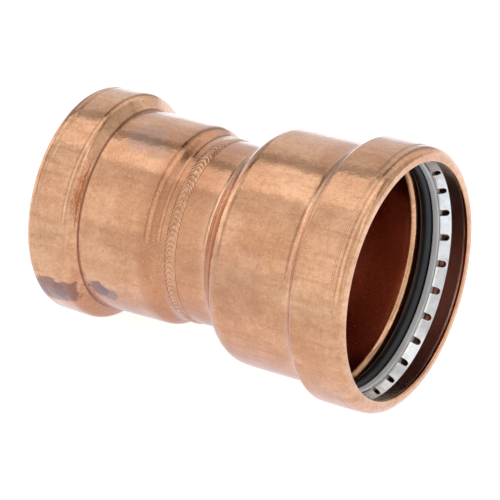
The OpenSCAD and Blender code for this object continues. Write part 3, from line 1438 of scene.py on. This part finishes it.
# ---------------------------------------------------------------- studio
@dataclass
class Studio:
    """Camera, paper and lights."""

    eye: tuple[float, float, float] = (0.59942, -0.96205, 0.54531)
    ahead: tuple[float, float, float] = (-0.474697, 0.764306, -0.436463)
    up: tuple[float, float, float] = (-0.230279, 0.370771, 0.899722)
    lens: float = 263.33
    sensor: float = 36.0
    reach: float = 6.0
    tilt_deg: float = 3.24
    touch: tuple[float, float] = (0.0458, -0.0465)
    paper: StudioPaper = field(default_factory=StudioPaper)
    far_side: float = 0.84
    near_side: float = 1.07
    overhead_drop: float = 0.10
    # along which Y the tent turns from far to near side, and from which height it is overhead
    near_from: tuple[float, float] = (0.35, -0.80)
    overhead_from: tuple[float, float] = (0.50, 0.85)
    seen_white: float = 1.1
    # seams and panels: middle, half width and softness along the axis, change of brightness
    seams: tuple[tuple[float, float, float, float], ...] = (
        (-0.15, 0.12, 0.10, -0.40),
        (0.30, 0.16, 0.10, 0.16),
        (0.66, 0.16, 0.08, -0.26),
        (-0.72, 0.10, 0.05, -0.38),
        (-0.95, 0.10, 0.05, 0.25),
    )
    # softbox and its frame: middle, half width and softness in degrees, change of brightness
    bands: tuple[tuple[float, float, float, float], ...] = (
        (89.0, 17.0, 0.8, 0.44),
        (64.0, 5.0, 1.0, -0.28),
        (105.0, 1.6, 1.0, -0.22),
    )
    # colour of the light that the tent lets through
    daylight: tuple[float, float, float, float] = (1.0, 1.05, 1.12, 1.0)

    def camera(self) -> None:
        """Places the camera."""
        data = bpy.data.cameras.new("camera")
        data.lens = self.lens
        data.sensor_width = self.sensor
        data.clip_start, data.clip_end = 0.05, 50.0
        made = bpy.data.objects.new("camera", data)
        bpy.context.scene.collection.objects.link(made)
        back, up = -Vector(self.ahead).normalized(), Vector(self.up).normalized()
        side = up.cross(back).normalized()
        turn = Matrix((side, up, back)).transposed()
        made.matrix_world = Matrix.Translation(self.eye) @ turn.to_4x4()
        bpy.context.scene.camera = made

    def floor(self) -> None:
        """Lays the paper so that both beads rest on it."""
        slope = math.tan(math.radians(self.tilt_deg))
        x0, z0 = self.touch
        r = self.reach
        corners = ((-r, -r), (r, -r), (r, r), (-r, r))
        verts = [(x, y, z0 - slope * (x - x0)) for x, y in corners]
        mesh = bpy.data.meshes.new("studio_floor")
        mesh.from_pydata(verts, [], [(0, 1, 2, 3)])
        made = bpy.data.objects.new("studio_floor", mesh)
        bpy.context.scene.collection.objects.link(made)
        wear(made, self.paper.make())

    def sky(self) -> None:
        """Makes a white tent with one softbox overhead, its darker frame and soft seams."""
        world = bpy.data.worlds.new("white tent")
        world.use_nodes = True
        t = world.node_tree
        t.nodes.clear()
        toward = add(t, "ShaderNodeTexCoord").outputs["Generated"]
        x, y, z = add(t, "ShaderNodeSeparateXYZ", None, {0: toward}).outputs[:3]
        nearer = fade(t, y, *self.near_from, self.near_side - self.far_side)
        level = maths(t, "ADD", nearer, self.far_side)
        level = maths(t, "SUBTRACT", level, fade(t, z, *self.overhead_from, self.overhead_drop))
        # round the axis of the coupling: 0 along +Y, a quarter turn straight up
        round_axis = maths(t, "DEGREES", maths(t, "ARCTAN2", z, y))
        for middle, half, soft, change in self.bands:
            off = maths(t, "ABSOLUTE", maths(t, "SUBTRACT", round_axis, middle))
            level = maths(t, "ADD", level, fade(t, off, half + soft, half - soft, change))
        # seams and panels of the tent on both sides of the one that the tubes mirror
        for middle, half, soft, change in self.seams:
            off = maths(t, "ABSOLUTE", maths(t, "SUBTRACT", x, middle))
            level = maths(t, "ADD", level, fade(t, off, half + soft, half - soft, change))
        # seen directly the tent is plain white
        seen = add(t, "ShaderNodeLightPath").outputs["Is Camera Ray"]
        level = maths(t, "MAXIMUM", level, maths(t, "MULTIPLY", seen, self.seen_white))
        back = add(t, "ShaderNodeBackground", None, {0: self.daylight, 1: level})
        out = add(t, "ShaderNodeOutputWorld")
        t.links.new(back.outputs[0], out.inputs[0])
        bpy.context.scene.world = world

    def build(self) -> None:
        """Sets up the whole studio."""
        self.camera()
        self.floor()
        self.sky()
        bpy.context.scene.view_settings.view_transform = "Standard"


# ---------------------------------------------------------------- assembly
@dataclass
class Coupling:
    """The whole coupling: two ends and the weld between them."""

    large: SocketEnd
    small: SocketEnd
    weld_root: float = 1.6

    def __post_init__(self) -> None:
        """Takes the mouths' places from the CAD shells."""
        self.large.mouth_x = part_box("large_shell")[1].x / MM
        self.small.mouth_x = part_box("small_shell")[0].x / MM

    def build(self) -> list[bpy.types.Object]:
        """Makes every piece.

        Returns:
            The finished pieces.
        """
        # annealing oxide on the side that faces up and towards -Y
        stains = (
            Stain((-58.3, -35.3, -19.7), 7.8, "80544A", 0.82),
            Stain((-50.5, -35.9, -19.4), 5.8, "80544A", 0.78),
            Stain((-40.0, -31.2, -16.8), 4.2, "6E4A50", 0.80),
            Stain((-36.3, -30.4, -18.3), 3.9, "7A5860", 0.60),
            Stain((-33.9, -9.8, 34.1), 7.0, "B09C9C", 0.30),
            Stain((-25.4, -14.1, 32.6), 4.5, "9A7C70", 0.35),
            Stain((20.0, -40.0, 5.0), 15.0, "B47C60", 0.30),
        )
        copper = DrawnCopper(stains=stains).make()
        weld = WeldedCopper().make()
        rubber = SealRubber().make()
        plastic = SeparatorPlastic().make()
        steel = RolledSteel().make()
        seam_x = self.large.along(self.large.neck_end) - self.weld_root / 2
        pieces = [WeldSeam(seam_x, root_width=self.weld_root).build(weld)]
        for end in (self.large, self.small):
            pieces.append(CopperShell(end, seed=3 + end.side.value).build(copper))
            pieces.append(RubberSeal(end).build(rubber))
            pieces.append(SeparatorRing(end).build(plastic))
            pieces.append(GripRing(end).build(steel))
        for piece in pieces:
            log.info("%s: %d faces", piece.name, len(piece.data.polygons))
        return pieces


def main() -> None:
    """Builds the coupling and its studio."""
    logging.basicConfig(level=logging.INFO, format="%(name)s: %(message)s")
    large = SocketEnd(
        Side.LARGE,
        bore_r=39.85,
        chamber_h=4.65,
        band=5.4,
        depth=50.0,
        slope=52.0,
        shoulder_r=7.0,
        foot_r=4.5,
        neck=13.2,
        slots=27,
        bead_slope=55.0,
        outer_slope=55.0,
        bead_crease_r=1.2,
        bead_root_r=6.5,
        ring_turn=-4.3,
    )
    small = SocketEnd(
        Side.SMALL,
        bore_r=33.5,
        chamber_h=4.9,
        band=2.8,
        depth=44.8,
        slope=45.0,
        shoulder_r=4.5,
        foot_r=2.5,
        neck=4.2,
        slots=23,
        bead_slope=70.0,
        outer_slope=58.0,
        bead_crease_r=3.0,
        bead_root_r=0.6,
        # painted shade in the crease behind the small bead
        painted_shade=0.85,
    )
    Coupling(large, small).build()
    Studio().build()


if __name__ == "__main__":
    main()
